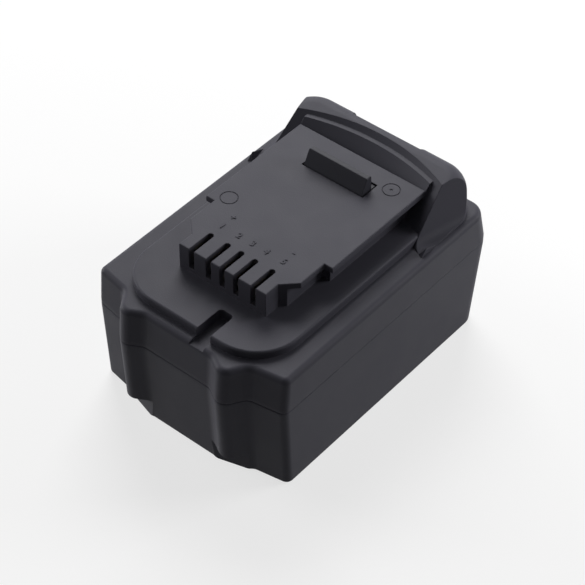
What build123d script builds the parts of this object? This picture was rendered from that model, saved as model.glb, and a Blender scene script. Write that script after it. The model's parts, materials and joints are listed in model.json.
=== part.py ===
from build123d import *
import math
import os

# Slide-on battery pack for a power tool, in millimetres.
# X runs across the pack, Y from the terminal end to the button end, and Z up from the base.
# The origin is in the middle of the outline, on the surface that the pack stands on.

# Case outline
pack_length = 116.9
case_width = 79.0
nose_setback = 2.9
shoulder_setback = 9.1
shoulder_rake = 2.3
horn_x = 19.9
horn_radius = 4.0
horn_inner_angle = 30.0
horn_outer_angle = 58.0
nose_blend_radius = 5.0
flank_blend_radius = 4.0
front_corner_radius = 2.6
rear_corner_radius = 6.5

# Case heights and walls
parting_height = 34.3
shoulder_room = 4.1
platform_step = 3.0
tower_rise = 9.6
base_front_draft = 1.9
base_rear_draft = 4.8
shoulder_front_draft = 1.0
shoulder_rear_draft = 3.2
case_wall = 2.0
floor_thickness = 2.6
base_edge_radius = 1.0
shoulder_edge_radius = 2.0
platform_edge_radius = 0.8
tower_edge_radius = 0.35
parting_chamfer = 0.3
rim_height = 1.5
tongue_height = 1.2
tongue_thickness = 0.9
tongue_clearance = 0.12
horn_foot_height = 8.0
horn_foot_wall = 1.6
horn_foot_inner_x = 12.0
horn_foot_outer_x = 26.0
horn_foot_inner_setback = 4.15
horn_foot_outer_setback = 8.15

# Platform that the tool's foot sits on
platform_half_width = 31.8
platform_front_setback = 7.75
platform_cover = 3.1
platform_corner_radius = 17.0
keyway_x = 7.6
keyway_width = 5.6
keyway_length = 11.4
keyway_corner_radius = 1.4
keyway_depth = 4.0
keyway_floor_thickness = 1.25

# Terminal tower and its rails
tower_front_setback = 25.35
tower_front_half_width = 18.0
tower_front_length = 5.9
rail_half_width = 23.05
wide_rail_half_width = 26.4
wide_rail_setback = 22.4
tower_rear_setback = 21.35
rail_thickness = 2.1
neck_half_width = 20.0
wide_neck_half_width = 23.1
neck_step_setback = 3.0
slot_width = 2.2
slot_length = 10.2
slot_floor_rise = 1.7
signal_slot_pitch = 5.7
power_slot_x = 12.8
mark_ring_radius = 3.1
mark_ring_width = 0.3
mark_ring_depth = 0.2
left_ring_x = -20.1
left_ring_setback = 4.1
right_ring_x = 17.6
right_ring_setback = 6.8
mark_dot_radius = 0.5

# Hump over the latch, at the button end
hump_side_setback = 2.5
hump_rear_setback = 3.3
hump_corner_radius = 12.0
hump_rise = 4.1
hump_top_rear_setback = 5.55
hump_top_slope_share = 0.12
hump_crown_radius = 6.5
hump_flank_crest_setback = 9.4
hump_flank_crest_y = 41.1
hump_flank_lean_share = 0.357
hump_flank_skew_share = 0.23
hump_flank_foot_rise = 0.9
hump_flank_radius = 4.0
hump_wall_setback = 9.1
hump_wall_sagitta = 5.6
hump_wall_side_x = 29.7
hump_wall_run_share = 1.03
hump_ledge_rise = 1.7
hump_ledge_depth = 1.7
hump_ledge_half_width = 26.5
hump_ledge_run = 9.0

# Thumb recess and its window
recess_half_width = 14.3
recess_setback = 8.6
recess_floor_drop = 6.2
recess_floor_thickness = 1.4
recess_flare = 2.6
window_clearance = 0.5

# Latch and release button
latch_travel = 5.4
tooth_half_width = 12.1
tooth_opening_half_width = 12.8
tooth_opening_setback = 15.8
tooth_opening_length = 7.9
tooth_clearance = 0.3
tooth_rise = 5.3
tooth_ramp_run = 3.1
tooth_top_length = 2.1
tooth_edge_radius = 0.4
tooth_shelf_drop = 0.5
stop_flange_overhang = 1.7
stop_flange_thickness = 2.1
stop_gap = 0.16
deck_drop = 10.1
deck_thickness = 2.0
deck_half_width = 10.0
deck_setback = 2.8
socket_height = 4.4
socket_length = 5.4
tongue_half_width = 6.0
button_half_width = 13.7
button_front_gap = 0.35
button_thickness = 3.4
button_drop = 0.2
button_height = 9.2
button_edge_radius = 0.8
button_rib_count = 3
button_rib_pitch = 2.1
button_rib_height = 0.7
button_rib_thickness = 0.9
button_rib_margin = 3.0
guide_thickness = 1.6
guide_length = 4.0
guide_clearance = 0.3

# Latch springs
spring_x = 7.0
spring_setback = 1.7
spring_coil_radius = 2.15
spring_wire_radius = 0.3
spring_turns = 7
spring_cup_wall = 0.8
spring_cup_clearance = 0.3
spring_seat_gap = 0.1
spring_peg_radius = 1.5
spring_peg_height = 2.2
spring_cup_drop = 2.9

# Cells
cell_columns = 5
cell_rows = 2
cell_end_room = 19.9
cell_side_room = 6.9
cell_spacing = 1.1
cell_row_spacing = 1.6
cell_block_y = 3.7
cell_cap_radius = 3.2
cell_cap_height = 0.8
cell_groove_offset = 3.4
cell_groove_depth = 0.5
cell_groove_width = 1.2
cell_edge_radius = 0.6

# Cell holder
bore_clearance = 0.15
holder_wall = 0.8
holder_skin = 1.4
holder_floor_gap = 0.3
holder_end_gap = 0.15
holder_end_wall = 0.7
holder_middle_gap = 0.3
holder_window_margin = 1.55
holder_post_radius = 2.4
holder_post_height = 1.5
holder_notch_gap = 0.3
rib_thickness = 1.2
rib_clearance = 0.25

# Nickel straps
strap_thickness = 0.3
strap_width = 9.0
strap_pad_radius = 3.6
strap_overlap = 5.0
tab_width = 2.4
tab_rise = 0.35
tab_band_height = 3.6
tab_board_gap = 0.1
left_strap_counts = [1, 2, 2]
right_strap_counts = [2, 2, 1]

# Circuit board
board_half_width = 24.5
board_front_lead = 2.9
board_rear_gap = 4.3
board_thickness = 1.4
board_corner_radius = 2.0
board_screw_x = 20.5
board_screw_radius = 1.1
board_screw_head_radius = 2.0
board_screw_head_height = 1.1
board_screw_length = 4.6
screw_hole_clearance = 0.05
drive_recess_radius = 0.9
drive_recess_depth = 0.6

# Terminal block and contacts
block_half_width = 15.6
block_setback = 6.0
block_length = 15.5
block_height = 6.3
contact_setback = 0.6
contact_length = 12.4
contact_height = 9.6
contact_sheet = 0.5
contact_gap = 0.8
contact_flare = 0.35
contact_pocket_clearance = 0.2
contact_seat = 0.6

# Board components
transistor_x = 9.5
transistor_gap = 0.6
transistor_width = 6.6
transistor_length = 6.1
transistor_height = 2.3
transistor_tab_length = 1.0
transistor_tab_height = 0.9
transistor_leg_width = 0.8
transistor_leg_length = 2.7
transistor_leg_pitch = 4.6
chip_setback = 5.4
chip_side = 7.0
chip_height = 1.2
chip_leg_length = 1.0
chip_leg_width = 0.35
chip_leg_height = 0.5
chip_leg_pitch = 0.8
chip_leg_count = 8
fuse_x = -20.5
fuse_length = 11.0
fuse_width = 4.0
fuse_height = 1.9
fuse_cap_length = 2.0
fuse_cap_step = 0.3
resistor_x = 16.5
resistor_setback = 8.0
resistor_length = 6.3
resistor_width = 3.2
resistor_height = 0.9
small_part_length = 2.0
small_part_width = 1.2
small_part_height = 0.9
small_part_x = 20.1
small_part_pitch_x = 3.0
small_part_pitch_y = 2.5
small_part_column_count = 2
small_part_row_count = 4

# Thermistor
thermistor_x = -3.6
thermistor_radius = 1.2
thermistor_length = 2.8
thermistor_depth = 3.4
thermistor_lead_radius = 0.25
thermistor_lead_pitch = 1.2
thermistor_clearance = 0.15

# Foam pads and insulating sheets
foam_gap = 0.3
foam_bottom = 8.0
rear_foam_bottom = 20.0
foam_top_drop = 5.8
front_foam_half_width = 12.4
rear_foam_side_gap = 5.0
sheet_thickness = 0.2
sheet_gap = 0.05
sheet_bottom = 5.0
sheet_top_drop = 5.4
sheet_end_margin = 7.5

# Case screws
screw_radius = 1.25
screw_head_radius = 2.1
screw_head_height = 1.9
screw_seat = 3.0
screw_passage_radius = 1.45
screw_counterbore_radius = 2.4
screw_post_radius = 2.3
screw_pad_radius = 3.2
screw_pad_height = 4.4
screw_tip_drop = 5.7
screw_tip_room = 1.0
screw_inset = 4.1
front_screw_setback = 14.55
rear_screw_setback = 9.55
socket_radius = 1.15
socket_depth = 1.3

# How far a cut runs past the face that it opens
overrun = 1.0

# Case lines that follow from the sizes above
horn_front = -pack_length / 2
case_rear = pack_length / 2
nose_front = horn_front + nose_setback
shoulder_front = horn_front + shoulder_setback
case_half_width = case_width / 2
platform_front = horn_front + platform_front_setback
keyway_rear = platform_front + keyway_length
tower_front = horn_front + tower_front_setback
tower_rear = case_rear - tower_rear_setback
wide_rail_start = tower_front + wide_rail_setback
slot_rear = tower_front + slot_length
platform_rear = tower_rear - platform_cover
left_ring_y = wide_rail_start + left_ring_setback
right_ring_y = tower_rear - right_ring_setback

# Cells and holder, sized by the case's length and width
cell_pitch_y = (pack_length - cell_end_room) / cell_columns
cell_radius = (cell_pitch_y - cell_spacing) / 2
cell_pitch_z = cell_radius * 2 + cell_row_spacing
cell_length = case_width - cell_side_room * 2
bore_radius = cell_radius + bore_clearance
holder_window_radius = cell_radius - holder_window_margin
holder_bottom = floor_thickness + holder_floor_gap
lower_row_z = holder_bottom + holder_skin + bore_radius
holder_top = lower_row_z + (cell_rows - 1) * cell_pitch_z + bore_radius + holder_skin
holder_half_length = (cell_columns - 1) * cell_pitch_y / 2 + bore_radius + holder_wall
holder_front = cell_block_y - holder_half_length
holder_rear = cell_block_y + holder_half_length
holder_inner_end = cell_length / 2 + holder_end_gap
holder_outer_end = holder_inner_end + holder_end_wall
column_ys = [
    cell_block_y + (column - (cell_columns - 1) / 2) * cell_pitch_y
    for column in range(cell_columns)
]
row_zs = [lower_row_z + row * cell_pitch_z for row in range(cell_rows)]
web_ys = [(a + b) / 2 for a, b in zip(column_ys, column_ys[1:])]

# Heights that stack up from the cells
shoulder_height = holder_top + shoulder_room
platform_height = shoulder_height + platform_step
tower_height = platform_height + tower_rise
case_ceiling = shoulder_height - case_wall
platform_ceiling = platform_height - case_wall
plate_underside = tower_height - rail_thickness
keyway_floor = platform_height - keyway_depth
slot_floor = platform_height + slot_floor_rise
foam_top = holder_top - foam_top_drop
sheet_top = holder_top - sheet_top_drop

# Hump, thumb recess and latch
hump_half_width = case_half_width - hump_side_setback
hump_rear = case_rear - hump_rear_setback
hump_height = tower_height + hump_rise
hump_top_rear = case_rear - hump_top_rear_setback
hump_crest_x = case_half_width - hump_flank_crest_setback
hump_wall_side_y = tower_rear - hump_wall_setback
hump_ledge_height = tower_height + hump_ledge_rise
recess_front = case_rear - recess_setback
deck_bottom = tower_height - deck_drop
deck_rear = recess_front - deck_setback
recess_floor = deck_bottom - recess_floor_drop
button_bottom = deck_bottom - button_drop
tooth_opening_front = tower_rear - tooth_opening_setback
tooth_opening_rear = tooth_opening_front + tooth_opening_length
tooth_height = tower_height + tooth_rise
tooth_ramp_top_y = tooth_opening_front + tooth_ramp_run
tooth_top_rear_y = tooth_ramp_top_y + tooth_top_length
spring_y = tooth_opening_rear + spring_setback
spring_cup_top = tower_height - spring_cup_drop

# Circuit board and what stands on it
board_front = tower_front - board_front_lead
board_rear = tooth_opening_front - board_rear_gap
board_bottom = holder_top + holder_post_height
board_top = board_bottom + board_thickness
board_screw_ys = [web_ys[0], web_ys[1]]
slot_xs = [-power_slot_x, -signal_slot_pitch, 0, signal_slot_pitch, power_slot_x]
block_front = board_front + block_setback
block_rear = block_front + block_length
contact_front = block_front + contact_setback
transistor_y = block_rear + transistor_gap + transistor_leg_length + transistor_length / 2
chip_y = board_rear - chip_setback
resistor_y = board_rear - resistor_setback

# Case screws
screw_x = case_half_width - screw_inset
screw_ys = [horn_front + front_screw_setback, case_rear - rear_screw_setback]
screw_places = [(side * screw_x, y) for side in (-1, 1) for y in screw_ys]
rear_foam_half_width = screw_x - screw_pad_radius - rear_foam_side_gap
screw_length = shoulder_height - screw_tip_drop - screw_seat


def mirrored(points):
    """Adds the points' mirror images across the middle, in reverse order."""
    return points + [(-x, y) for x, y in reversed(points)]


def closed_outline(points, radii):
    """A face inside mirrored points, each corner rounded by its radius."""
    with BuildSketch() as outline:
        with BuildLine():
            FilletPolyline(*mirrored(points), radius=radii + radii[::-1], close=True)
        make_face()
    return outline.sketch


def case_outline(inset, front_shift=0, rear_shift=0):
    """The case's outline, with two horns at the front, drawn in by an inset and two drafts."""
    half_turn = math.radians(horn_inner_angle + horn_outer_angle) / 2
    outward = math.radians((horn_outer_angle - horn_inner_angle) / 2 - 90)
    reach = horn_radius / math.cos(half_turn)
    corner_x = horn_x + reach * math.cos(outward)
    corner_y = horn_front + horn_radius + reach * math.sin(outward)
    nose_x = corner_x - (nose_front - corner_y) / math.tan(math.radians(horn_inner_angle))
    flank_y = shoulder_front - shoulder_rake
    flank_x = corner_x + (flank_y - corner_y) / math.tan(math.radians(horn_outer_angle))
    points = [
        (nose_x, nose_front + front_shift),
        (corner_x, corner_y + front_shift),
        (flank_x, flank_y + front_shift),
        (case_half_width, shoulder_front + front_shift),
        (case_half_width, case_rear - rear_shift),
    ]
    radii = [
        nose_blend_radius,
        horn_radius,
        flank_blend_radius,
        front_corner_radius,
        rear_corner_radius,
    ]
    with BuildSketch() as outline:
        add(closed_outline(points, radii))
        if inset:
            offset(amount=-inset)
    return outline.sketch


def horn_foot(side, wall):
    """What lies in front of a slanted line under one horn, the line set back by a wall."""
    inner_y = horn_front + horn_foot_inner_setback + wall
    outer_y = horn_front + horn_foot_outer_setback + wall
    with BuildSketch() as foot:
        with BuildLine():
            Polyline(
                (side * (horn_foot_inner_x - wall), inner_y),
                (side * (horn_foot_outer_x + wall), outer_y),
                (side * (horn_foot_outer_x + wall), horn_front - overrun),
                (side * (horn_foot_inner_x - wall), horn_front - overrun),
                close=True,
            )
        make_face()
    return foot.sketch


def platform_outline(inset):
    """The raised platform, from its rounded front corners back under the hump."""
    half_width = platform_half_width - inset
    points = [(half_width, platform_front + inset), (half_width, platform_rear)]
    return closed_outline(points, [platform_corner_radius - inset, 0])


def tower_outline(front_half_width, narrow, wide, step_setback, front_inset, rear_inset):
    """The tower seen from above: a narrow front, a chamfer, then two widths of rail."""
    chamfer_start = tower_front + tower_front_length
    chamfer_end = chamfer_start + narrow - front_half_width
    points = [
        (front_half_width, tower_front + front_inset),
        (front_half_width, chamfer_start),
        (narrow, chamfer_end),
        (narrow, wide_rail_start + step_setback),
        (wide, wide_rail_start + step_setback),
        (wide, tower_rear - rear_inset),
    ]
    with BuildSketch() as outline:
        with BuildLine():
            Polyline(*mirrored(points), close=True)
        make_face()
    return outline.sketch


def wall_cutter(setback, bottom, top):
    """What lies in front of the hump's sloping wall, hollow in plan, between two heights."""
    slope = hump_wall_run_share
    start = hump_wall_side_y + (bottom - platform_height) * slope + setback
    reach = hump_half_width + overrun
    bow = hump_wall_sagitta * (reach / hump_wall_side_x) ** 2
    middle = start + hump_wall_sagitta
    with BuildPart() as cutter:
        with BuildSketch(Plane.XY.offset(bottom)):
            with BuildLine():
                Polyline(
                    (-reach, middle - bow),
                    (-reach, start - pack_length),
                    (reach, start - pack_length),
                    (reach, middle - bow),
                )
                ThreePointArc((reach, middle - bow), (0, middle), (-reach, middle - bow))
            make_face()
        extrude(amount=(top - bottom) * math.hypot(1, slope), dir=(0, slope, 1))
    return cutter.part


def hump_form(inset):
    """The hump drawn in by an inset: a leaning rear, hollow flanks and a sloping front wall."""
    top = hump_height - inset
    bottom = shoulder_height - case_wall
    half_width = hump_half_width - inset
    front_top = top - hump_top_rear * hump_top_slope_share
    with BuildPart() as form:
        with BuildSketch(Plane.YZ):
            with BuildLine():
                Polyline(
                    (0, bottom),
                    (0, front_top),
                    (hump_top_rear - inset, top),
                    (hump_rear - inset, bottom),
                    close=True,
                )
            make_face()
        extrude(amount=half_width, both=True)
        rear_edges = form.faces().sort_by(Axis.Y)[-1].edges().sort_by(Axis.X)
        fillet([rear_edges[0], rear_edges[-1]], radius=hump_corner_radius - inset)
        crown = form.faces().sort_by(Axis.Z)[-1].edges().sort_by(Axis.Y)[1:]
        fillet(crown, radius=hump_crown_radius - inset)
        skew = hump_flank_skew_share
        start_x = hump_crest_x - inset - hump_flank_crest_y * skew
        flank_foot_z = shoulder_height + hump_flank_foot_rise - inset
        flank_points = [
            (start_x - hump_flank_lean_share * overrun, top + overrun),
            (start_x + hump_flank_lean_share * (top - flank_foot_z), flank_foot_z),
            (case_half_width - hump_flank_crest_y * skew, shoulder_height - inset),
            (case_half_width, top + overrun),
        ]
        for side in (-1, 1):
            with BuildSketch(Plane.XZ):
                with BuildLine():
                    FilletPolyline(
                        *[(side * x, z) for x, z in flank_points],
                        radius=[0, hump_flank_radius, 0, 0],
                        close=True,
                    )
                make_face()
            extrude(
                amount=case_rear * math.hypot(1, skew),
                dir=(side * skew, 1, 0),
                mode=Mode.SUBTRACT,
            )
        wall_shift = inset * math.hypot(1, hump_wall_run_share)
        add(
            wall_cutter(wall_shift, bottom - overrun, top + overrun),
            mode=Mode.SUBTRACT,
        )
    return form.part


# Lower case: a tub with four screw posts, ribs that centre the cells, and a tongue at the rim
with BuildPart() as lower_case:
    with BuildSketch():
        add(case_outline(0, base_front_draft, base_rear_draft))
    with BuildSketch(Plane.XY.offset(parting_height - rim_height)):
        add(case_outline(0))
    loft(ruled=True)
    fillet(lower_case.faces().sort_by(Axis.Z)[0].edges(), radius=base_edge_radius)
    with BuildSketch(Plane.XY.offset(parting_height - rim_height)):
        add(case_outline(0))
    extrude(amount=rim_height)
    chamfer(lower_case.faces().sort_by(Axis.Z)[-1].edges(), length=parting_chamfer)
    with BuildSketch(Plane.XY.offset(parting_height)):
        add(case_outline(case_wall - tongue_thickness))
    extrude(amount=tongue_height)
    floor_share = 1 - floor_thickness / (parting_height - rim_height)
    with BuildSketch(Plane.XY.offset(floor_thickness)):
        add(case_outline(case_wall, base_front_draft * floor_share, base_rear_draft * floor_share))
    with BuildSketch(Plane.XY.offset(parting_height - rim_height)):
        add(case_outline(case_wall))
    loft(ruled=True, mode=Mode.SUBTRACT)
    with BuildSketch(Plane.XY.offset(parting_height - rim_height)):
        add(case_outline(case_wall))
    extrude(amount=rim_height + tongue_height, mode=Mode.SUBTRACT)
    with BuildSketch(Plane.XY.offset(floor_thickness)):
        add(case_outline(case_wall / 2, base_front_draft, base_rear_draft))
        with BuildSketch(mode=Mode.PRIVATE) as horn_feet:
            for side in (-1, 1):
                add(horn_foot(side, horn_foot_wall))
        add(horn_feet.sketch, mode=Mode.INTERSECT)
    extrude(amount=horn_foot_height + horn_foot_wall - floor_thickness)
    with BuildSketch(Plane.XY.offset(floor_thickness)):
        for side in (-1, 1):
            rib_inner = holder_outer_end + strap_thickness + sheet_thickness + rib_clearance
            rib_length = case_half_width - case_wall / 2 - rib_inner
            with Locations(*[(side * (rib_inner + rib_length / 2), y) for y in web_ys]):
                Rectangle(rib_length, rib_thickness)
    extrude(amount=parting_height - floor_thickness - tongue_height)
    with BuildSketch(Plane.XY.offset(floor_thickness)):
        with Locations(*screw_places):
            Circle(screw_pad_radius)
    extrude(amount=screw_pad_height - floor_thickness)
    with BuildSketch(Plane.XY.offset(floor_thickness)):
        with Locations(*screw_places):
            Circle(screw_post_radius)
    extrude(amount=parting_height - floor_thickness)
    with BuildSketch():
        with Locations(*screw_places):
            Circle(screw_counterbore_radius)
    extrude(amount=screw_seat, mode=Mode.SUBTRACT)
    with BuildSketch():
        with Locations(*screw_places):
            Circle(screw_passage_radius)
    extrude(amount=parting_height + overrun, mode=Mode.SUBTRACT)
    with BuildSketch():
        for side in (-1, 1):
            add(horn_foot(side, 0))
    extrude(amount=horn_foot_height, mode=Mode.SUBTRACT)
lower_case.part.label = "lower_case"

# Space inside the upper case, less the thumb recess, the keyway and the latch guides
guide_inner = tooth_half_width + guide_clearance
with BuildPart() as cavity:
    with BuildSketch(Plane.XY.offset(parting_height - overrun)):
        add(case_outline(case_wall))
    extrude(amount=rim_height + overrun)
    rim_top = parting_height + rim_height
    ceiling_share = (case_ceiling - rim_top) / (shoulder_height - rim_top)
    with BuildSketch(Plane.XY.offset(rim_top)):
        add(case_outline(case_wall))
    with BuildSketch(Plane.XY.offset(case_ceiling)):
        add(
            case_outline(
                case_wall,
                shoulder_front_draft * ceiling_share,
                shoulder_rear_draft * ceiling_share,
            )
        )
    loft(ruled=True)
    with BuildSketch(Plane.XY.offset(case_ceiling - overrun)):
        add(platform_outline(case_wall))
    extrude(amount=platform_ceiling - case_ceiling + overrun)
    with BuildSketch(Plane.XY.offset(platform_ceiling - overrun)):
        add(
            tower_outline(
                tower_front_half_width - case_wall,
                neck_half_width - case_wall,
                wide_neck_half_width - case_wall,
                neck_step_setback + case_wall,
                case_wall,
                case_wall,
            )
        )
    extrude(amount=plate_underside - platform_ceiling + overrun)
    add(hump_form(case_wall))
    with BuildSketch(Plane.XY.offset(case_ceiling)):
        with Locations((0, tower_rear - case_wall - overrun)):
            Rectangle(
                (deck_half_width + guide_clearance) * 2,
                recess_front - tower_rear,
                align=(Align.CENTER, Align.MIN),
            )
    extrude(amount=deck_bottom + deck_thickness + stop_gap - case_ceiling)
    with BuildSketch(Plane.XY.offset(recess_floor - recess_floor_thickness)):
        with Locations((0, recess_front - case_wall)):
            Rectangle(
                (recess_half_width + case_wall) * 2,
                pack_length,
                align=(Align.CENTER, Align.MIN),
            )
    extrude(amount=hump_height, mode=Mode.SUBTRACT)
    with BuildSketch(Plane.XY.offset(keyway_floor - keyway_floor_thickness)):
        with Locations((keyway_x, keyway_rear + case_wall)):
            Rectangle(
                keyway_width + case_wall * 2,
                pack_length,
                align=(Align.CENTER, Align.MAX),
            )
    extrude(amount=tower_height, mode=Mode.SUBTRACT)
    with BuildSketch(Plane.XY.offset(deck_bottom)):
        for side in (-1, 1):
            with Locations((side * (guide_inner + guide_thickness / 2), tower_rear - case_wall)):
                Rectangle(guide_thickness, guide_length, align=(Align.CENTER, Align.MAX))
    extrude(amount=tower_height, mode=Mode.SUBTRACT)

# Ledge across the hump's front wall, just behind the tower
with BuildPart() as hump_ledge:
    with BuildSketch(Plane.XY.offset(case_ceiling)):
        with Locations((0, tower_rear - case_wall / 2)):
            Rectangle(hump_ledge_half_width * 2, hump_ledge_run, align=(Align.CENTER, Align.MIN))
    extrude(amount=hump_ledge_height - case_ceiling)
    add(
        wall_cutter(-hump_ledge_depth, case_ceiling - overrun, hump_height),
        mode=Mode.SUBTRACT,
    )

# Upper case: shoulder, platform, terminal tower with rails, and the hump over the latch
with BuildPart() as upper_case:
    with BuildSketch(Plane.XY.offset(rim_top)):
        add(case_outline(0))
    with BuildSketch(Plane.XY.offset(shoulder_height)):
        add(case_outline(0, shoulder_front_draft, shoulder_rear_draft))
    loft(ruled=True)
    fillet(upper_case.faces().sort_by(Axis.Z)[-1].edges(), radius=shoulder_edge_radius)
    with BuildSketch(Plane.XY.offset(parting_height)):
        add(case_outline(0))
    extrude(amount=rim_height)
    chamfer(upper_case.faces().sort_by(Axis.Z)[0].edges(), length=parting_chamfer)
    with BuildSketch(Plane.XY.offset(case_ceiling)):
        add(platform_outline(0))
    extrude(amount=platform_height - case_ceiling)
    fillet(upper_case.faces().sort_by(Axis.Z)[-1].edges(), radius=platform_edge_radius)
    with BuildSketch(Plane.XY.offset(platform_ceiling)):
        add(
            tower_outline(
                tower_front_half_width,
                neck_half_width,
                wide_neck_half_width,
                neck_step_setback,
                0,
                0,
            )
        )
    extrude(amount=plate_underside - platform_ceiling)
    with BuildSketch(Plane.XY.offset(plate_underside)):
        add(tower_outline(tower_front_half_width, rail_half_width, wide_rail_half_width, 0, 0, 0))
    extrude(amount=rail_thickness)
    fillet(upper_case.faces().sort_by(Axis.Z)[-1].edges(), radius=tower_edge_radius)
    add(hump_form(0))
    add(hump_ledge.part)
    add(cavity.part, mode=Mode.SUBTRACT)
    with BuildSketch(Plane.XY.offset(recess_floor)):
        with BuildLine():
            Polyline(
                (-recess_half_width, recess_front),
                (recess_half_width, recess_front),
                (recess_half_width + recess_flare, case_rear + overrun),
                (-recess_half_width - recess_flare, case_rear + overrun),
                close=True,
            )
        make_face()
    extrude(amount=hump_height, mode=Mode.SUBTRACT)
    window_bottom = deck_bottom - latch_travel - window_clearance
    with BuildSketch(Plane.XY.offset(window_bottom)):
        with Locations((0, recess_front + overrun)):
            Rectangle(
                (tongue_half_width + window_clearance) * 2,
                case_wall + overrun * 2,
                align=(Align.CENTER, Align.MAX),
            )
    extrude(amount=latch_travel + deck_thickness + window_clearance * 2, mode=Mode.SUBTRACT)
    with BuildSketch(Plane.XY.offset(plate_underside - overrun)):
        with Locations((0, tooth_opening_front)):
            Rectangle(
                tooth_opening_half_width * 2,
                tooth_opening_rear - tooth_opening_front,
                align=(Align.CENTER, Align.MIN),
            )
    extrude(amount=tower_height, mode=Mode.SUBTRACT)
    with BuildSketch(Plane.XY.offset(slot_floor)):
        for x in slot_xs:
            with Locations((x, slot_rear - slot_width / 2)):
                Circle(slot_width / 2)
            with Locations((x, slot_rear - slot_width / 2)):
                Rectangle(slot_width, pack_length / 2, align=(Align.CENTER, Align.MAX))
    extrude(amount=tower_height, mode=Mode.SUBTRACT)
    with BuildSketch(Plane.XY.offset(keyway_floor)):
        with Locations((keyway_x, keyway_rear)):
            Rectangle(keyway_width, pack_length / 2, align=(Align.CENTER, Align.MAX))
        fillet(vertices().group_by(Axis.Y)[-1], radius=keyway_corner_radius)
    extrude(amount=plate_underside - platform_height, mode=Mode.SUBTRACT)
    with BuildSketch(Plane.XY.offset(tower_height)):
        with Locations((left_ring_x, left_ring_y), (right_ring_x, right_ring_y)):
            Circle(mark_ring_radius)
            Circle(mark_ring_radius - mark_ring_width, mode=Mode.SUBTRACT)
        with Locations((right_ring_x, right_ring_y)):
            Circle(mark_dot_radius)
    extrude(amount=-mark_ring_depth, mode=Mode.SUBTRACT)
    with BuildSketch(Plane.XY.offset(parting_height)):
        with Locations(*screw_places):
            Circle(screw_post_radius)
    extrude(amount=case_ceiling - parting_height + case_wall / 2)
    with BuildSketch(Plane.XY.offset(parting_height)):
        with Locations(*screw_places):
            Circle(screw_radius + screw_hole_clearance)
    extrude(amount=screw_seat + screw_length + screw_tip_room - parting_height, mode=Mode.SUBTRACT)
    with BuildSketch(Plane.XY.offset(parting_height)):
        add(case_outline(case_wall - tongue_thickness - tongue_clearance))
        add(case_outline(case_wall), mode=Mode.SUBTRACT)
    extrude(amount=tongue_height + tongue_clearance, mode=Mode.SUBTRACT)
upper_case.part.label = "upper_case"

# Latch: a ramped tooth on a deck that runs back to the button, with two spring cups
tooth_front = tooth_opening_front + tooth_clearance
tooth_rear = tooth_opening_rear - tooth_clearance
tooth_shelf = tower_height - tooth_shelf_drop
flange_top = plate_underside - stop_gap
flange_half_width = tooth_opening_half_width + stop_flange_overhang
spring_cup_radius = spring_coil_radius + spring_wire_radius + spring_cup_clearance
spring_places = [(-spring_x, spring_y), (spring_x, spring_y)]
with BuildPart() as latch:
    with BuildSketch(Plane.YZ):
        with BuildLine():
            Polyline(
                (tooth_front, deck_bottom),
                (tooth_front, tooth_shelf),
                (tooth_ramp_top_y, tooth_height),
                (tooth_top_rear_y, tooth_height),
                (tooth_top_rear_y + tooth_clearance, tooth_shelf),
                (tooth_rear, tooth_shelf),
                (tooth_rear, deck_bottom),
                close=True,
            )
        make_face()
    extrude(amount=tooth_half_width, both=True)
    tooth_edges = latch.faces().sort_by(Axis.Z)[-1].edges()
    fillet(tooth_edges, radius=tooth_edge_radius)
    with BuildSketch(Plane.XY.offset(flange_top - stop_flange_thickness)):
        with Locations((0, tooth_opening_front - stop_flange_overhang)):
            Rectangle(
                flange_half_width * 2,
                tooth_rear - tooth_opening_front + stop_flange_overhang,
                align=(Align.CENTER, Align.MIN),
            )
    extrude(amount=stop_flange_thickness)
    with BuildSketch(Plane.XY.offset(deck_bottom)):
        with Locations((0, tooth_front)):
            Rectangle(deck_half_width * 2, deck_rear - tooth_front, align=(Align.CENTER, Align.MIN))
    extrude(amount=deck_thickness)
    with BuildSketch(Plane.XY.offset(deck_bottom)):
        with Locations(*spring_places):
            Circle(spring_cup_radius + spring_cup_wall)
    extrude(amount=spring_cup_top - deck_bottom)
    with BuildSketch(Plane.XY.offset(deck_bottom)):
        with Locations((0, deck_rear)):
            Rectangle(deck_half_width * 2, socket_length, align=(Align.CENTER, Align.MAX))
    extrude(amount=socket_height)
    with BuildSketch(Plane.XY.offset(deck_bottom)):
        with Locations((0, deck_rear)):
            Rectangle(
                (tongue_half_width + screw_hole_clearance) * 2,
                socket_length - deck_thickness,
                align=(Align.CENTER, Align.MAX),
            )
    extrude(amount=deck_thickness + screw_hole_clearance, mode=Mode.SUBTRACT)
    with BuildSketch(Plane.XY.offset(deck_bottom)):
        with Locations(*spring_places):
            Circle(spring_cup_radius)
    extrude(amount=spring_cup_top - spring_cup_wall - deck_bottom, mode=Mode.SUBTRACT)
latch.part.label = "latch"

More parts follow.
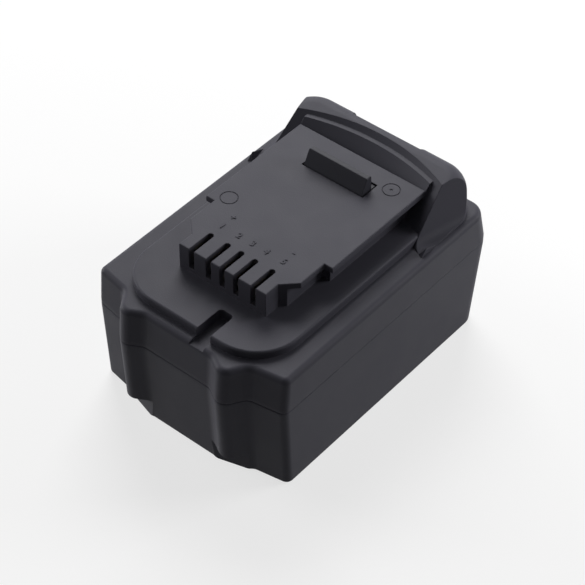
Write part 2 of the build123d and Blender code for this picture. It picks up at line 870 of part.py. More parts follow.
# Release button: a ribbed pad in the thumb recess, with a tongue into the latch
button_front = recess_front + button_front_gap
button_rear = button_front + button_thickness
tongue_end = deck_rear - socket_length + deck_thickness + screw_hole_clearance
with BuildPart() as release_button:
    with BuildSketch(Plane.XY.offset(button_bottom)):
        with Locations((0, button_front)):
            Rectangle(button_half_width * 2, button_thickness, align=(Align.CENTER, Align.MIN))
    extrude(amount=button_height)
    fillet(
        release_button.faces().sort_by(Axis.Y)[-1].edges(),
        radius=button_edge_radius,
    )
    rib_middle = button_bottom + button_height / 2
    rib_offsets = [
        (rib - (button_rib_count - 1) / 2) * button_rib_pitch
        for rib in range(button_rib_count)
    ]
    with BuildSketch(Plane.XZ.offset(-button_rear)):
        with Locations(*[(0, rib_middle + rise) for rise in rib_offsets]):
            SlotOverall((button_half_width - button_rib_margin) * 2, button_rib_thickness)
    extrude(amount=-button_rib_height)
    with BuildSketch(Plane.XY.offset(deck_bottom + screw_hole_clearance)):
        with Locations((0, button_front + overrun)):
            Rectangle(
                tongue_half_width * 2,
                button_front + overrun - tongue_end,
                align=(Align.CENTER, Align.MAX),
            )
    extrude(amount=deck_thickness - screw_hole_clearance * 2)
release_button.part.label = "release_button"

# Latch springs: two coils that stand on the cell holder and push the latch up
spring_bottom = holder_top + spring_wire_radius + spring_seat_gap
spring_top = spring_cup_top - spring_cup_wall - spring_wire_radius - spring_seat_gap
spring_pitch = (spring_top - spring_bottom) / spring_turns
with BuildPart() as latch_springs:
    for x, y in spring_places:
        with BuildLine(Plane(origin=(x, y, spring_bottom))) as coil_path:
            Helix(
                pitch=spring_pitch,
                height=spring_top - spring_bottom,
                radius=spring_coil_radius,
            )
        coil_start = coil_path.line @ 0
        coil_heading = coil_path.line % 0
        with BuildSketch(Plane(origin=coil_start, z_dir=coil_heading)):
            Circle(spring_wire_radius)
        sweep(path=coil_path.line, is_frenet=True)
latch_springs.part.label = "latch_springs"


def make_cell(y, z, direction):
    """One cell lying across the pack, with its positive cap towards the given side."""
    half = cell_length / 2
    shoulder = half - cell_cap_height
    groove = shoulder - cell_groove_offset
    points = [
        (-half, 0),
        (-half, cell_radius),
        (groove - cell_groove_width / 2, cell_radius),
        (groove, cell_radius - cell_groove_depth),
        (groove + cell_groove_width / 2, cell_radius),
        (shoulder, cell_radius),
        (shoulder, cell_cap_radius),
        (half, cell_cap_radius),
        (half, 0),
    ]
    radii = [0, cell_edge_radius, 0, 0, 0, cell_edge_radius, 0, 0, 0]
    with BuildPart() as cell:
        with BuildSketch(Plane(origin=(0, y, z), x_dir=(direction, 0, 0), z_dir=(0, -direction, 0))):
            with BuildLine():
                FilletPolyline(*points, radius=radii, close=True)
            make_face()
        revolve(axis=Axis((0, y, z), (1, 0, 0)))
    return cell.part


# Ten cells in two layers of five, their polarity turning round from column to column
cells = []
for column, y in enumerate(column_ys):
    direction = -1 if column % 2 == 0 else 1
    for z in row_zs:
        cell = make_cell(y, z, direction)
        cell.label = "cell_" + str(len(cells) + 1)
        cells.append(cell)

# Cell holders: two halves, each with ten bores, windows for the straps and board posts
with BuildPart() as cell_holder_right:
    middle_z = (holder_bottom + holder_top) / 2
    with BuildSketch(Plane.YZ.offset(holder_middle_gap / 2)):
        with Locations((cell_block_y, middle_z)):
            RectangleRounded(
                holder_half_length * 2,
                holder_top - holder_bottom,
                bore_radius + holder_wall,
            )
    extrude(amount=holder_outer_end - holder_middle_gap / 2)
    with BuildSketch(Plane.XY.offset(holder_top - holder_skin)):
        with Locations(*[(board_screw_x, y) for y in board_screw_ys]):
            Circle(holder_post_radius)
    extrude(amount=holder_skin + holder_post_height)
    with BuildSketch(Plane.YZ):
        with Locations(*[(y, z) for y in column_ys for z in row_zs]):
            Circle(bore_radius)
    extrude(amount=holder_inner_end, mode=Mode.SUBTRACT)
    with BuildSketch(Plane.YZ):
        with Locations(*[(y, z) for y in column_ys for z in row_zs]):
            Circle(holder_window_radius)
    extrude(amount=holder_outer_end + overrun, mode=Mode.SUBTRACT)
    with BuildSketch(Plane.XY.offset(board_bottom)):
        with Locations(*[(board_screw_x, y) for y in board_screw_ys]):
            Circle(board_screw_radius + screw_hole_clearance)
    extrude(amount=-board_screw_length, mode=Mode.SUBTRACT)
    with BuildSketch(Plane.XY.offset(holder_top - holder_skin / 2)):
        with Locations((spring_x, spring_y)):
            Circle(spring_peg_radius)
    extrude(amount=holder_skin / 2 + spring_peg_height)
    with BuildSketch(Plane.XY.offset(holder_top)):
        with Locations((-thermistor_x, web_ys[1])):
            Circle(thermistor_radius + thermistor_clearance)
    extrude(amount=-thermistor_depth - thermistor_clearance, mode=Mode.SUBTRACT)
    with BuildSketch():
        with Locations(*[(screw_x, y) for y in screw_ys]):
            Circle(screw_pad_radius + holder_notch_gap)
    extrude(amount=shoulder_height, mode=Mode.SUBTRACT)
cell_holder_right.part.label = "cell_holder_right"
with BuildPart() as cell_holder_left:
    mirror(cell_holder_right.part, about=Plane.YZ)
cell_holder_left.part.label = "cell_holder_left"


def make_strap(side, ys, tab_y):
    """A nickel strap over some columns on one side, with a tab that bends in to the board."""
    plane_x = side * holder_outer_end
    low_z = row_zs[0] - strap_overlap
    high_z = row_zs[-1] + strap_overlap
    tab_top = holder_top + tab_rise
    tab_bottom = tab_top - strap_thickness
    anchor_y = min(ys, key=lambda y: abs(y - tab_y))
    band_low = min(anchor_y, tab_y) - tab_width / 2
    band_high = max(anchor_y, tab_y) + tab_width / 2
    outer_x = holder_outer_end + strap_thickness
    inner_x = board_half_width + tab_board_gap
    with BuildPart() as strap:
        with BuildSketch(Plane.YZ.offset(plane_x)):
            with Locations(*[(y, (low_z + high_z) / 2) for y in ys]):
                Rectangle(strap_width, high_z - low_z)
            with Locations(((ys[0] + ys[-1]) / 2, (low_z + high_z) / 2)):
                Rectangle(ys[-1] - ys[0] + strap_width, strap_width)
            with Locations(((band_low + band_high) / 2, tab_top)):
                Rectangle(
                    band_high - band_low,
                    tab_band_height,
                    align=(Align.CENTER, Align.MAX),
                )
            with Locations((anchor_y, tab_top)):
                Rectangle(tab_width, tab_top - high_z, align=(Align.CENTER, Align.MAX))
        extrude(amount=side * strap_thickness)
        with BuildSketch(Plane.YZ.offset(side * cell_length / 2)):
            with Locations(*[(y, z) for y in ys for z in row_zs]):
                Circle(strap_pad_radius)
        extrude(amount=side * (holder_outer_end - cell_length / 2))
        with BuildSketch(Plane.XY.offset(tab_bottom)):
            with Locations((side * (inner_x + outer_x) / 2, tab_y)):
                Rectangle(outer_x - inner_x, tab_width)
        extrude(amount=strap_thickness)
        with BuildSketch(Plane.XY.offset(tab_bottom)):
            with Locations((side * (inner_x + strap_thickness / 2), tab_y)):
                Rectangle(strap_thickness, tab_width)
        extrude(amount=board_top + strap_thickness - tab_bottom)
    return strap.part


# Six straps that join the ten cells in series, two side by side
left_tab_ys = [column_ys[0] + tab_width, web_ys[1], board_rear - tab_width]
right_tab_ys = [web_ys[0], column_ys[2], board_rear - tab_width]
strap_sides = [(-1, left_strap_counts, left_tab_ys), (1, right_strap_counts, right_tab_ys)]
straps = []
for side, counts, tab_ys in strap_sides:
    first = 0
    for count, tab_y in zip(counts, tab_ys):
        strap = make_strap(side, column_ys[first : first + count], tab_y)
        strap.label = "nickel_strap_" + str(len(straps) + 1)
        straps.append(strap)
        first = first + count

# Circuit board on the holder's posts
with BuildPart() as circuit_board:
    with BuildSketch(Plane.XY.offset(board_bottom)):
        with Locations((0, (board_front + board_rear) / 2)):
            RectangleRounded(board_half_width * 2, board_rear - board_front, board_corner_radius)
        with Locations(*[(s * board_screw_x, y) for s in (-1, 1) for y in board_screw_ys]):
            Circle(board_screw_radius + screw_hole_clearance, mode=Mode.SUBTRACT)
        with Locations(
            (thermistor_x - thermistor_lead_pitch / 2, web_ys[1]),
            (thermistor_x + thermistor_lead_pitch / 2, web_ys[1]),
        ):
            Circle(thermistor_lead_radius + screw_hole_clearance, mode=Mode.SUBTRACT)
    extrude(amount=board_thickness)
circuit_board.part.label = "circuit_board"

# Terminal block: a moulding on the board with a pocket for each contact
contact_width = contact_gap + contact_sheet * 2
pocket_width = contact_width + (contact_flare + contact_pocket_clearance) * 2
with BuildPart() as terminal_block:
    with BuildSketch(Plane.XY.offset(board_top)):
        with Locations((0, block_front)):
            Rectangle(
                block_half_width * 2,
                block_rear - block_front,
                align=(Align.CENTER, Align.MIN),
            )
    extrude(amount=block_height)
    with BuildSketch(Plane.XY.offset(board_top + contact_seat)):
        with Locations(*[(x, block_front - overrun) for x in slot_xs]):
            Rectangle(
                pocket_width,
                contact_front + contact_length + contact_pocket_clearance
                - block_front + overrun,
                align=(Align.CENTER, Align.MIN),
            )
    extrude(amount=block_height, mode=Mode.SUBTRACT)
terminal_block.part.label = "terminal_block"


def make_contact(x):
    """A contact clip: two spring leaves on a base, flared where the tool's blade enters."""
    outer = contact_width / 2
    inner = contact_gap / 2
    front = contact_front
    throat = contact_front + contact_flare * 4
    rear = contact_front + contact_length
    base_z = board_top + contact_seat
    with BuildPart() as contact:
        with BuildSketch(Plane.XY.offset(base_z)):
            for side in (-1, 1):
                with BuildLine():
                    Polyline(
                        (x + side * (outer + contact_flare), front),
                        (x + side * outer, throat),
                        (x + side * outer, rear),
                        (x + side * inner, rear),
                        (x + side * inner, throat),
                        (x + side * (inner + contact_flare), front),
                        close=True,
                    )
                make_face()
        extrude(amount=contact_height)
        with BuildSketch(Plane.XY.offset(base_z)):
            with Locations((x, throat)):
                Rectangle(contact_width, rear - throat, align=(Align.CENTER, Align.MIN))
        extrude(amount=contact_sheet)
    return contact.part


# Five contacts, one behind each slot of the tower
contacts = []
for x in slot_xs:
    contact = make_contact(x)
    contact.label = "contact_" + str(len(contacts) + 1)
    contacts.append(contact)


def make_transistor(x):
    """A power transistor lying on the board, with its tab behind and two legs in front."""
    with BuildPart() as transistor:
        with BuildSketch(Plane.XY.offset(board_top)):
            with Locations((x, transistor_y)):
                Rectangle(transistor_width, transistor_length)
        extrude(amount=transistor_height)
        with BuildSketch(Plane.XY.offset(board_top)):
            with Locations((x, transistor_y + transistor_length / 2)):
                Rectangle(
                    transistor_width,
                    transistor_tab_length,
                    align=(Align.CENTER, Align.MIN),
                )
        extrude(amount=transistor_tab_height)
        with BuildSketch(Plane.XY.offset(board_top)):
            leg_y = transistor_y - transistor_length / 2
            with Locations(*[(x + s * transistor_leg_pitch / 2, leg_y) for s in (-1, 1)]):
                Rectangle(
                    transistor_leg_width,
                    transistor_leg_length,
                    align=(Align.CENTER, Align.MAX),
                )
        extrude(amount=transistor_tab_height)
    return transistor.part


transistors = []
for x in (-transistor_x, transistor_x):
    transistor = make_transistor(x)
    transistor.label = "power_transistor_" + str(len(transistors) + 1)
    transistors.append(transistor)

# Control chip with legs along two sides
with BuildPart() as control_chip:
    with BuildSketch(Plane.XY.offset(board_top)):
        with Locations((0, chip_y)):
            Rectangle(chip_side, chip_side)
    extrude(amount=chip_height)
    with BuildSketch(Plane.XY.offset(board_top)):
        for leg in range(chip_leg_count):
            leg_y = chip_y + (leg - (chip_leg_count - 1) / 2) * chip_leg_pitch
            with Locations((0, leg_y)):
                Rectangle(chip_side + chip_leg_length * 2, chip_leg_width)
    extrude(amount=chip_leg_height)
control_chip.part.label = "control_chip"

# Fuse beside the terminal block, with a metal cap at each end
with BuildPart() as fuse:
    fuse_y = column_ys[1]
    with BuildSketch(Plane.XY.offset(board_top)):
        with Locations((fuse_x, fuse_y)):
            Rectangle(fuse_width - fuse_cap_step * 2, fuse_length)
    extrude(amount=fuse_height - fuse_cap_step)
    with BuildSketch(Plane.XY.offset(board_top)):
        cap_shift = (fuse_length - fuse_cap_length) / 2
        with Locations((fuse_x, fuse_y - cap_shift), (fuse_x, fuse_y + cap_shift)):
            Rectangle(fuse_width, fuse_cap_length)
    extrude(amount=fuse_height)
fuse.part.label = "fuse"

# Sense resistors, one at each side of the board
with BuildPart() as sense_resistors:
    with BuildSketch(Plane.XY.offset(board_top)):
        with Locations((-resistor_x, resistor_y), (resistor_x, resistor_y)):
            Rectangle(resistor_width, resistor_length)
    extrude(amount=resistor_height)
sense_resistors.part.label = "sense_resistors"

# Small capacitors in two columns beside the terminal block
with BuildPart() as chip_capacitors:
    with BuildSketch(Plane.XY.offset(board_top)):
        with Locations((small_part_x, column_ys[1])):
            with GridLocations(
                small_part_pitch_x,
                small_part_pitch_y,
                small_part_column_count,
                small_part_row_count,
            ):
                Rectangle(small_part_length, small_part_width)
    extrude(amount=small_part_height)
chip_capacitors.part.label = "chip_capacitors"

# Thermistor: a bead between four cells, with two leads up to the board
with BuildPart() as thermistor:
    bead_bottom = holder_top - thermistor_depth
    with BuildSketch(Plane.XY.offset(bead_bottom)):
        with Locations((thermistor_x, web_ys[1])):
            Circle(thermistor_radius)
    extrude(amount=thermistor_length)
    fillet(thermistor.edges().group_by(Axis.Z)[0], radius=thermistor_radius / 2)
    with BuildSketch(Plane.XY.offset(bead_bottom + thermistor_length / 2)):
        with Locations(
            (thermistor_x - thermistor_lead_pitch / 2, web_ys[1]),
            (thermistor_x + thermistor_lead_pitch / 2, web_ys[1]),
        ):
            Circle(thermistor_lead_radius)
    extrude(amount=board_top - bead_bottom - thermistor_length / 2)
thermistor.part.label = "thermistor"

# Foam pads that fill the ends of the case and keep the cells from rattling
with BuildPart() as front_foam_pad:
    foam_front = nose_front + base_front_draft + case_wall + foam_gap
    with BuildSketch(Plane.XY.offset(foam_bottom)):
        with Locations((0, foam_front)):
            Rectangle(
                front_foam_half_width * 2,
                holder_front - foam_gap - foam_front,
                align=(Align.CENTER, Align.MIN),
            )
    extrude(amount=foam_top - foam_bottom)
front_foam_pad.part.label = "front_foam_pad"
with BuildPart() as rear_foam_pad:
    foam_rear = case_rear - case_wall - foam_gap
    foam_foot = foam_rear - base_rear_draft * (1 - rear_foam_bottom / parting_height)
    foam_lean = (foam_top - parting_height) / (shoulder_height - parting_height)
    with BuildSketch(Plane.YZ):
        with BuildLine():
            Polyline(
                (holder_rear + foam_gap, rear_foam_bottom),
                (foam_foot, rear_foam_bottom),
                (foam_rear, parting_height),
                (foam_rear - shoulder_rear_draft * foam_lean, foam_top),
                (holder_rear + foam_gap, foam_top),
                close=True,
            )
        make_face()
    extrude(amount=rear_foam_half_width, both=True)
rear_foam_pad.part.label = "rear_foam_pad"

# Insulating sheets over the straps
with BuildPart() as insulating_sheet_right:
    with BuildSketch(Plane.YZ.offset(holder_outer_end + strap_thickness + sheet_gap)):
        with Locations((cell_block_y, (sheet_bottom + sheet_top) / 2)):
            Rectangle((holder_half_length - sheet_end_margin) * 2, sheet_top - sheet_bottom)
    extrude(amount=sheet_thickness)
insulating_sheet_right.part.label = "insulating_sheet_right"
with BuildPart() as insulating_sheet_left:
    mirror(insulating_sheet_right.part, about=Plane.YZ)
insulating_sheet_left.part.label = "insulating_sheet_left"

# Four long screws up through the lower case into the upper one
with BuildPart() as case_screws:
    with BuildSketch(Plane.XY.offset(screw_seat - screw_head_height)):
        with Locations(*screw_places):
            Circle(screw_head_radius)
    extrude(amount=screw_head_height)
    with BuildSketch(Plane.XY.offset(screw_seat)):
        with Locations(*screw_places):
            Circle(screw_radius)
    extrude(amount=screw_length)
    with BuildSketch(Plane.XY.offset(screw_seat - screw_head_height)):
        with Locations(*screw_places):
            RegularPolygon(socket_radius, 6)
    extrude(amount=socket_depth, mode=Mode.SUBTRACT)
case_screws.part.label = "case_screws"

# Four small screws that hold the board to the cell holder
with BuildPart() as board_screws:
    board_screw_places = [(s * board_screw_x, y) for s in (-1, 1) for y in board_screw_ys]
    with BuildSketch(Plane.XY.offset(board_top)):
        with Locations(*board_screw_places):
            Circle(board_screw_head_radius)
    extrude(amount=board_screw_head_height)
    with BuildSketch(Plane.XY.offset(board_top)):
        with Locations(*board_screw_places):
            Circle(board_screw_radius)
    extrude(amount=-board_screw_length)
    with BuildSketch(Plane.XY.offset(board_top + board_screw_head_height)):
        with Locations(*board_screw_places):
            RegularPolygon(drive_recess_radius, 6)
    extrude(amount=-drive_recess_depth, mode=Mode.SUBTRACT)
board_screws.part.label = "board_screws"

# Every piece, one file each
pieces = [
    lower_case.part,
    upper_case.part,
    latch.part,
    release_button.part,
    latch_springs.part,
    *cells,
    cell_holder_left.part,
    cell_holder_right.part,
    *straps,
    circuit_board.part,
    terminal_block.part,
    *contacts,
    *transistors,
    control_chip.part,
    fuse.part,
    sense_resistors.part,
    chip_capacitors.part,
    thermistor.part,
    front_foam_pad.part,
    rear_foam_pad.part,
    insulating_sheet_left.part,
    insulating_sheet_right.part,
    case_screws.part,
    board_screws.part,
]
os.makedirs("parts", exist_ok=True)
for piece in pieces:
    export_step(piece, "parts/" + piece.label + ".step")
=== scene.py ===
import json
import math

import bmesh
import bpy
from mathutils import Matrix, Quaternion, Vector


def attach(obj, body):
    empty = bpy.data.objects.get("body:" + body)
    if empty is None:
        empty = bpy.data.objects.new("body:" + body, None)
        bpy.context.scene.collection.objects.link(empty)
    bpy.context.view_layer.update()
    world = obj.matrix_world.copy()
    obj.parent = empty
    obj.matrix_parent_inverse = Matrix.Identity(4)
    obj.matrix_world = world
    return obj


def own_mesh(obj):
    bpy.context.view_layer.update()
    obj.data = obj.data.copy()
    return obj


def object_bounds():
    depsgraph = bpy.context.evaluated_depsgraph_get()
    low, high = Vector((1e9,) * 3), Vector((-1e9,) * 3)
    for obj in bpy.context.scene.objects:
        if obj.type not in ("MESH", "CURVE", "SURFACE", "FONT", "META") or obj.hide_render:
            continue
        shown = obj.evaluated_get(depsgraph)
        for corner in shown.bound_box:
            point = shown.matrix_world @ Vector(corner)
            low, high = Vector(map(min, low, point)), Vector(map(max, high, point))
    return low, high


# Battery pack for a power tool: finishes, raised marks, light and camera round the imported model.
# Lengths are metres in the model's own frame.

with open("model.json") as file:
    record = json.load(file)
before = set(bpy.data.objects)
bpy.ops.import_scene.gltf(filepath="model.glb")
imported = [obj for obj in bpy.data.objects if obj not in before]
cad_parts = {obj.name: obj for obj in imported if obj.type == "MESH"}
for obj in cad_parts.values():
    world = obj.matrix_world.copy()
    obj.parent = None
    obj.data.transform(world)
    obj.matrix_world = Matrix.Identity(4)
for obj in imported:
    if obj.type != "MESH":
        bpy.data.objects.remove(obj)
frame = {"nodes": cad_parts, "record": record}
cad_low, cad_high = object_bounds()

mm = 0.001

# Camera, solved from the photograph's straight edges; the sensor's width is in millimetres
sensor_width = 36.0
image_side = 585
focal_pixels = 2119.16
camera_azimuth = math.radians(39.57)
camera_elevation = math.radians(44.40)
camera_roll = math.radians(0.44)
camera_distance = 0.6984
camera_target = Vector((0.003517, -0.002648, 0.030))

# Raised marks on the terminal plate
plate_z = 60.9 * mm
slot_xs = [x * mm for x in (-12.8, -5.7, 0.0, 5.7, 12.8)]
number_y = -18.2 * mm
number_height = 3.4 * mm
pole_y = -13.0 * mm
pole_height = 3.8 * mm
mark_rise = 0.18 * mm
mark_weight = 0.05 * mm

# Floor and light
floor_half = 3.0
floor_shadow_share = 0.30
floor_bounce_grey = 0.15
world_level = 0.05
key_level = 0.82
key_place = Vector((-0.46, 0.52, 0.66))
key_side = 0.55
right_level = 0.50
right_place = Vector((0.30, 0.36, 0.20))
right_side = 0.2
left_level = 0.52
left_place = Vector((-1.1, -0.26, 0.30))
left_side = 0.5

# The stretch of a noise's values that a finish uses
noise_low = 0.3
noise_high = 0.7

bevel_samples = 4


def node_of(tree, kind, **values):
    """A shader node, with its properties and unlinked inputs set by name."""
    made = tree.nodes.new(kind)
    for name, value in values.items():
        if hasattr(made, name):
            setattr(made, name, value)
        else:
            made.inputs[name.replace("_", " ")].default_value = value
    return made


def grey(level):
    """An even grey as a node's colour."""
    return (level, level, level, 1.0)


def finish_named(name, colour, roughness, metallic=0.0, specular=0.5):
    """A new material with its plain values on the shader's own sockets."""
    made = bpy.data.materials.new(name)
    made.use_nodes = True
    shader = made.node_tree.nodes["Principled BSDF"]
    shader.inputs["Base Color"].default_value = (*colour, 1.0)
    shader.inputs["Roughness"].default_value = roughness
    shader.inputs["Metallic"].default_value = metallic
    shader.inputs["Specular IOR Level"].default_value = specular
    return made, made.node_tree, shader


def object_place(tree):
    """Coordinates in metres that stay with the piece."""
    return tree.nodes.new("ShaderNodeTexCoord").outputs["Object"]


def noise(tree, place, size, detail=2.0, roughness=0.5):
    """Cloudy variation whose features are about size metres across."""
    made = node_of(
        tree, "ShaderNodeTexNoise", Scale=1.0 / size, Detail=detail, Roughness=roughness
    )
    tree.links.new(place, made.inputs["Vector"])
    return made.outputs["Fac"]


def cells(tree, place, size, feature="F1"):
    """Grains or pits about size metres across."""
    made = node_of(tree, "ShaderNodeTexVoronoi", Scale=1.0 / size, feature=feature)
    tree.links.new(place, made.inputs["Vector"])
    return made.outputs["Distance"]


def stretched(tree, place, x=1.0, y=1.0, z=1.0):
    """The same place with each axis scaled: under 1 draws a pattern out along that axis."""
    made = tree.nodes.new("ShaderNodeMapping")
    made.inputs["Scale"].default_value = (x, y, z)
    tree.links.new(place, made.inputs["Vector"])
    return made.outputs["Vector"]


def ramp(tree, factor, low, high, low_colour, high_colour):
    """Two colours with an even blend from low to high between them."""
    made = tree.nodes.new("ShaderNodeValToRGB")
    made.color_ramp.elements[0].position = low
    made.color_ramp.elements[1].position = high
    made.color_ramp.elements[0].color = (*low_colour, 1.0)
    made.color_ramp.elements[1].color = (*high_colour, 1.0)
    tree.links.new(factor, made.inputs["Fac"])
    return made.outputs["Color"]


def shades(tree, shader, factor, colour, spread):
    """Lets the base colour wander by a share of itself to each side."""
    dark = [c * (1 - spread) for c in colour]
    light = [c * (1 + spread) for c in colour]
    made = ramp(tree, factor, noise_low, noise_high, dark, light)
    tree.links.new(made, shader.inputs["Base Color"])


def wandering_roughness(tree, shader, factor, low, high):
    """Lets the roughness wander between two values."""
    made = node_of(
        tree,
        "ShaderNodeMapRange",
        From_Min=noise_low,
        From_Max=noise_high,
        To_Min=low,
        To_Max=high,
    )
    tree.links.new(factor, made.inputs["Value"])
    tree.links.new(made.outputs["Result"], shader.inputs["Roughness"])


def relief(tree, height, depth, strength, under=None):
    """A bump of a real depth, on top of an earlier one where there is one."""
    made = node_of(tree, "ShaderNodeBump", Distance=depth, Strength=strength)
    tree.links.new(height, made.inputs["Height"])
    if under is not None:
        tree.links.new(under, made.inputs["Normal"])
    return made.outputs["Normal"]


def soft_edges(tree, radius):
    """Rounds the look of sharp edges by a real radius."""
    made = node_of(tree, "ShaderNodeBevel", samples=bevel_samples, Radius=radius)
    return made.outputs["Normal"]


def moulded_plastic(name, colour, roughness, grain, grain_depth, edge):
    """Injection moulded plastic with an eroded grain, faint flow clouds and softened edges."""
    made, tree, shader = finish_named(name, colour, roughness, specular=0.11)
    place = object_place(tree)
    clouds = noise(tree, place, size=30 * mm, detail=3.0)
    shades(tree, shader, clouds, colour, spread=0.03)
    sheen = noise(tree, place, size=9 * mm)
    wandering_roughness(tree, shader, sheen, low=roughness - 0.02, high=roughness + 0.02)
    edges = soft_edges(tree, edge)
    pits = relief(tree, cells(tree, place, grain), grain_depth, strength=0.6, under=edges)
    fine_grain = noise(tree, place, size=grain * 0.6, detail=3.0)
    grains = relief(tree, fine_grain, grain_depth, strength=0.6, under=pits)
    tree.links.new(grains, shader.inputs["Normal"])
    return made


def sheet_metal(name, colour, roughness, streak):
    """Rolled or drawn metal with fine streaks along X and a few dull patches."""
    made, tree, shader = finish_named(name, colour, roughness, metallic=1.0)
    place = object_place(tree)
    lines = noise(tree, stretched(tree, place, x=0.05), streak, detail=4.0)
    patches = noise(tree, place, size=6 * mm)
    shades(tree, shader, patches, colour, spread=0.08)
    wandering_roughness(tree, shader, lines, low=roughness - 0.08, high=roughness + 0.12)
    edges = soft_edges(tree, radius=0.05 * mm)
    scores = relief(tree, lines, depth=0.01 * mm, strength=0.5, under=edges)
    tree.links.new(scores, shader.inputs["Normal"])
    return made


def cell_sleeve(name, colour):
    """Shrink sleeve: glossy and a little wavy."""
    made, tree, shader = finish_named(name, colour, roughness=0.28)
    place = object_place(tree)
    clouds = noise(tree, place, size=18 * mm)
    shades(tree, shader, clouds, colour, spread=0.12)
    wrinkles = noise(tree, stretched(tree, place, x=3.0), size=6 * mm, detail=3.0)
    wandering_roughness(tree, shader, wrinkles, low=0.22, high=0.36)
    edges = soft_edges(tree, radius=0.2 * mm)
    waves = relief(tree, wrinkles, depth=0.08 * mm, strength=0.5, under=edges)
    tree.links.new(waves, shader.inputs["Normal"])
    return made


def lacquered_board(name, colour):
    """Green lacquer over copper traces, with the traces a little raised and lighter."""
    made, tree, shader = finish_named(name, colour, roughness=0.35)
    place = object_place(tree)
    light = [c * 1.7 for c in colour]
    traces = cells(tree, place, size=3.2 * mm, feature="DISTANCE_TO_EDGE")
    lacquer = ramp(tree, traces, low=0.05, high=0.09, low_colour=light, high_colour=colour)
    tree.links.new(lacquer, shader.inputs["Base Color"])
    sheen = noise(tree, place, size=4 * mm)
    wandering_roughness(tree, shader, sheen, low=0.3, high=0.42)
    edges = soft_edges(tree, radius=0.1 * mm)
    raised = relief(tree, traces, depth=0.05 * mm, strength=0.3, under=edges)
    tree.links.new(raised, shader.inputs["Normal"])
    return made


def moulded_component(name, colour, roughness, speck):
    """A small moulded or fired part with a fine sandy surface."""
    made, tree, shader = finish_named(name, colour, roughness)
    place = object_place(tree)
    sand = noise(tree, place, speck, detail=4.0)
    shades(tree, shader, sand, colour, spread=0.15)
    sheen = noise(tree, place, size=speck * 6)
    wandering_roughness(tree, shader, sheen, low=roughness - 0.06, high=roughness + 0.06)
    edges = soft_edges(tree, radius=0.1 * mm)
    rough = relief(tree, sand, depth=0.03 * mm, strength=0.6, under=edges)
    tree.links.new(rough, shader.inputs["Normal"])
    return made


def closed_foam(name, colour):
    """Closed cell foam: round pores of many sizes."""
    made, tree, shader = finish_named(name, colour, roughness=0.9, specular=0.2)
    place = object_place(tree)
    pores = cells(tree, place, size=0.7 * mm)
    shades(tree, shader, pores, colour, spread=0.3)
    small_pores = cells(tree, place, size=0.3 * mm)
    fine = relief(tree, small_pores, depth=0.12 * mm, strength=0.6)
    pitted = relief(tree, pores, depth=0.3 * mm, strength=0.8, under=fine)
    tree.links.new(pitted, shader.inputs["Normal"])
    return made


def pressed_paper(name, colour):
    """Insulating paper with fibres drawn out along Y."""
    made, tree, shader = finish_named(name, colour, roughness=0.8, specular=0.25)
    place = object_place(tree)
    fibres = noise(
        tree, stretched(tree, place, y=0.2), size=0.5 * mm, detail=6.0, roughness=0.7
    )
    shades(tree, shader, fibres, colour, spread=0.12)
    tree.links.new(relief(tree, fibres, depth=0.04 * mm, strength=0.6), shader.inputs["Normal"])
    return made


finishes = {
    "case_plastic": moulded_plastic(
        "charcoal_case",
        colour=(0.060, 0.059, 0.074),
        roughness=0.50,
        grain=0.35 * mm,
        grain_depth=0.03 * mm,
        edge=0.35 * mm,
    ),
    "latch_plastic": moulded_plastic(
        "black_latch",
        colour=(0.036, 0.036, 0.045),
        roughness=0.46,
        grain=0.30 * mm,
        grain_depth=0.015 * mm,
        edge=0.25 * mm,
    ),
    "holder_plastic": moulded_plastic(
        "grey_holder",
        colour=(0.12, 0.12, 0.13),
        roughness=0.5,
        grain=0.5 * mm,
        grain_depth=0.02 * mm,
        edge=0.2 * mm,
    ),
    "block_plastic": moulded_plastic(
        "black_block",
        colour=(0.05, 0.05, 0.055),
        roughness=0.45,
        grain=0.3 * mm,
        grain_depth=0.02 * mm,
        edge=0.15 * mm,
    ),
    "spring_steel": sheet_metal(
        "drawn_spring_wire", colour=(0.55, 0.56, 0.58), roughness=0.28, streak=0.2 * mm
    ),
    "nickel": sheet_metal(
        "rolled_nickel", colour=(0.66, 0.64, 0.60), roughness=0.32, streak=0.25 * mm
    ),
    "contact_brass": sheet_metal(
        "plated_brass", colour=(0.78, 0.62, 0.34), roughness=0.26, streak=0.2 * mm
    ),
    "screw_steel": sheet_metal(
        "zinc_screw", colour=(0.30, 0.30, 0.31), roughness=0.38, streak=0.15 * mm
    ),
    "cell_sleeve": cell_sleeve("blue_sleeve", colour=(0.08, 0.26, 0.42)),
    "board": lacquered_board("green_board", colour=(0.04, 0.22, 0.10)),
    "component_black": moulded_component(
        "black_epoxy", colour=(0.03, 0.03, 0.032), roughness=0.55, speck=0.25 * mm
    ),
    "component_ceramic": moulded_component(
        "fired_ceramic", colour=(0.50, 0.45, 0.38), roughness=0.5, speck=0.3 * mm
    ),
    "foam": closed_foam("black_foam", colour=(0.06, 0.06, 0.06)),
    "insulating_paper": pressed_paper("cream_paper", colour=(0.72, 0.70, 0.60)),
}

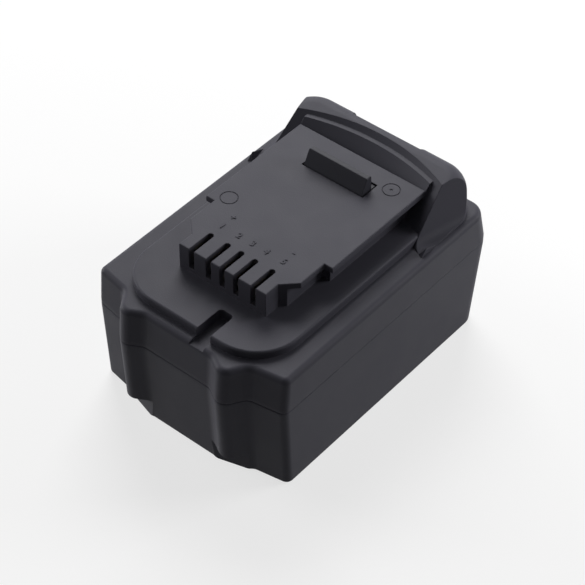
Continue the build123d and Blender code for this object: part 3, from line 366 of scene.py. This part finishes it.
for part in frame["record"]["subparts"]:
    for slot in frame["nodes"][part["node"]].material_slots:
        slot.material = finishes[part["material_slot"]]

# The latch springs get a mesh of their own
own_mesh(frame["nodes"]["latch_springs"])


def seen_by_camera(tree):
    """1 where the camera looks, straight or in a gloss or through glass, and 0 elsewhere."""
    path = tree.nodes.new("ShaderNodeLightPath")
    gloss = node_of(tree, "ShaderNodeMath", operation="MAXIMUM")
    tree.links.new(path.outputs["Is Glossy Ray"], gloss.inputs[0])
    tree.links.new(path.outputs["Is Transmission Ray"], gloss.inputs[1])
    seen = node_of(tree, "ShaderNodeMath", operation="MAXIMUM")
    tree.links.new(path.outputs["Is Camera Ray"], seen.inputs[0])
    tree.links.new(gloss.outputs[0], seen.inputs[1])
    return seen.outputs[0]


def floor_finish():
    """White where the camera looks, with a faint shadow; a soft grey as it lights the pack."""
    made = bpy.data.materials.new("pale_floor")
    made.use_nodes = True
    tree = made.node_tree
    tree.nodes.clear()
    shaded = node_of(tree, "ShaderNodeBsdfDiffuse", Color=grey(1.0))
    glow = node_of(tree, "ShaderNodeEmission", Color=grey(1.0), Strength=1.0)
    looked_at = tree.nodes.new("ShaderNodeMixShader")
    looked_at.inputs[0].default_value = floor_shadow_share
    tree.links.new(glow.outputs[0], looked_at.inputs[1])
    tree.links.new(shaded.outputs[0], looked_at.inputs[2])
    bounce = node_of(tree, "ShaderNodeBsdfDiffuse", Color=grey(floor_bounce_grey))
    mix = tree.nodes.new("ShaderNodeMixShader")
    tree.links.new(seen_by_camera(tree), mix.inputs[0])
    tree.links.new(bounce.outputs[0], mix.inputs[1])
    tree.links.new(looked_at.outputs[0], mix.inputs[2])
    out = tree.nodes.new("ShaderNodeOutputMaterial")
    tree.links.new(mix.outputs[0], out.inputs["Surface"])
    return made


def raised_mark(letters, height, place):
    """Plain characters that stand a little out of the terminal plate, centred on a place."""
    line = bpy.data.curves.new("mark", "FONT")
    line.body = letters
    line.size = height
    line.align_x = "CENTER"
    line.align_y = "CENTER"
    line.extrude = mark_rise
    line.offset = mark_weight
    holder = bpy.data.objects.new("mark", line)
    mesh = bpy.data.meshes.new_from_object(holder)
    bpy.data.objects.remove(holder)
    mesh.transform(Matrix.Translation(place))
    return mesh


def make_terminal_marks():
    """A number behind each terminal slot, and the poles of the two outer ones."""
    made = bmesh.new()
    for number, slot_x in enumerate(slot_xs, start=1):
        place = Vector((slot_x, number_y, plate_z))
        made.from_mesh(raised_mark(str(number), number_height, place))
    for pole, slot_x in (("+", slot_xs[0]), ("-", slot_xs[-1])):
        place = Vector((slot_x, pole_y, plate_z))
        made.from_mesh(raised_mark(pole, pole_height, place))
    mesh = bpy.data.meshes.new("terminal_marks")
    made.to_mesh(mesh)
    made.free()
    mesh.materials.append(finishes["case_plastic"])
    marks = bpy.data.objects.new("terminal_marks", mesh)
    bpy.context.scene.collection.objects.link(marks)
    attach(marks, "pack")


def make_floor():
    """One flat sheet that the pack stands on."""
    made = bmesh.new()
    bmesh.ops.create_grid(made, x_segments=1, y_segments=1, size=floor_half)
    bmesh.ops.translate(made, verts=made.verts, vec=(0, 0, cad_low.z))
    mesh = bpy.data.meshes.new("floor")
    made.to_mesh(mesh)
    made.free()
    floor = bpy.data.objects.new("floor", mesh)
    bpy.context.scene.collection.objects.link(floor)
    mesh.materials.append(floor_finish())


def make_world():
    """An even sky: white where the camera looks, dimmer as light."""
    world = bpy.data.worlds.new("studio")
    bpy.context.scene.world = world
    world.use_nodes = True
    tree = world.node_tree
    sky = tree.nodes["Background"]
    sky.inputs["Color"].default_value = grey(1.0)
    level = node_of(tree, "ShaderNodeMapRange", To_Min=world_level, To_Max=1.0)
    tree.links.new(seen_by_camera(tree), level.inputs["Value"])
    tree.links.new(level.outputs["Result"], sky.inputs["Strength"])


def soft_box(name, place, side, level):
    """A square lamp that makes a white surface facing it at the pack as bright as level."""
    lamp = bpy.data.lights.new(name, "AREA")
    lamp.shape = "SQUARE"
    lamp.size = side
    aim = camera_target - place
    lamp.energy = level * math.pi ** 2 * aim.length_squared
    holder = bpy.data.objects.new(name, lamp)
    holder.location = place
    holder.rotation_mode = "QUATERNION"
    holder.rotation_quaternion = aim.to_track_quat("-Z", "Y")
    holder.visible_camera = False
    bpy.context.scene.collection.objects.link(holder)


def make_camera():
    """The photograph's own view."""
    lens = bpy.data.cameras.new("camera")
    lens.sensor_width = sensor_width
    lens.lens = focal_pixels * sensor_width / image_side
    camera = bpy.data.objects.new("camera", lens)
    flat = math.cos(camera_elevation)
    back = Vector((
        math.sin(camera_azimuth) * flat,
        -math.cos(camera_azimuth) * flat,
        math.sin(camera_elevation),
    ))
    camera.location = camera_target + back * camera_distance
    camera.rotation_mode = "QUATERNION"
    turned = (-back).to_track_quat("-Z", "Y")
    camera.rotation_quaternion = turned @ Quaternion((0, 0, 1), camera_roll)
    bpy.context.scene.collection.objects.link(camera)
    bpy.context.scene.camera = camera


make_terminal_marks()
make_floor()
make_world()
soft_box("key_lamp", key_place, key_side, key_level)
soft_box("right_lamp", right_place, right_side, right_level)
soft_box("left_lamp", left_place, left_side, left_level)
make_camera()
bpy.context.scene.view_settings.view_transform = "Standard"
